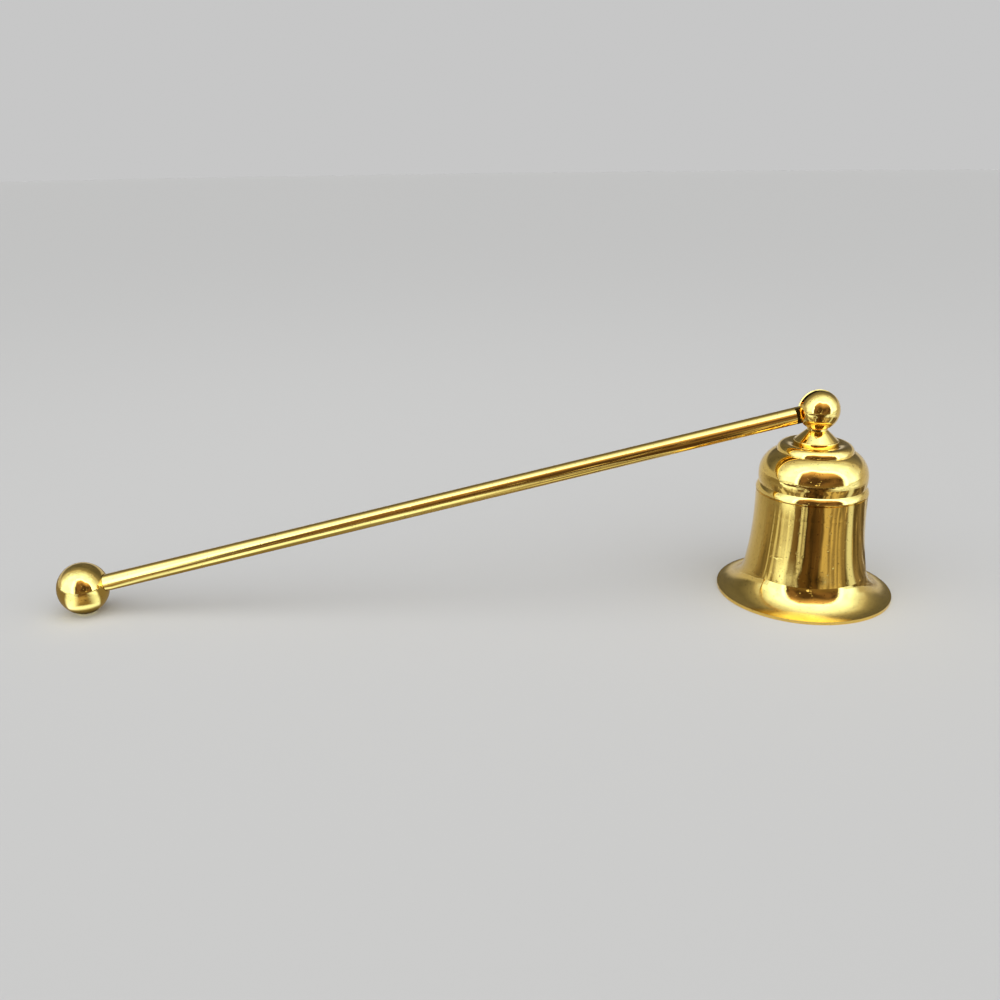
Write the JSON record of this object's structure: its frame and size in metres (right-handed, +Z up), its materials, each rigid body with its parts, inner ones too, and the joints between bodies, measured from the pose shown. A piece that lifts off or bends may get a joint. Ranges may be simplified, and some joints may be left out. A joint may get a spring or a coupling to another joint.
{
  "type": "candle snuffer",
  "caption": "Bell shaped brass candle snuffer with a flared rim and a long straight handle hinged in a slotted ball above the bell, ending in a ball.",
  "frame": {"origin": "on the bell's axis, in the plane that its rim stands on", "axes": "+Z up along the bell's axis, -X towards the handle's end ball, +Y along the hinge pin"},
  "size_m": [0.2474, 0.051, 0.0616],
  "materials": {
    "polished_brass": "mirror polished yellow brass with fine wipe marks, a little duller towards the rim",
    "plain_brass": "turned or sawn brass, not polished"
  },
  "bodies": {
    "bell_body": {"bell": "polished_brass", "finial": "polished_brass", "hinge_pin": "polished_brass", "crown_washer": "plain_brass", "crown_nut": "plain_brass"},
    "handle": {"handle_rod": "polished_brass", "end_ball": "polished_brass"}
  },
  "joints": [
    {"name": "handle_hinge", "type": "hinge", "parent": "bell_body", "child": "handle", "pos_m": [0, 0, 0.05584], "axis": [0, 1, 0], "range_deg": [-10, 215]}
  ]
}
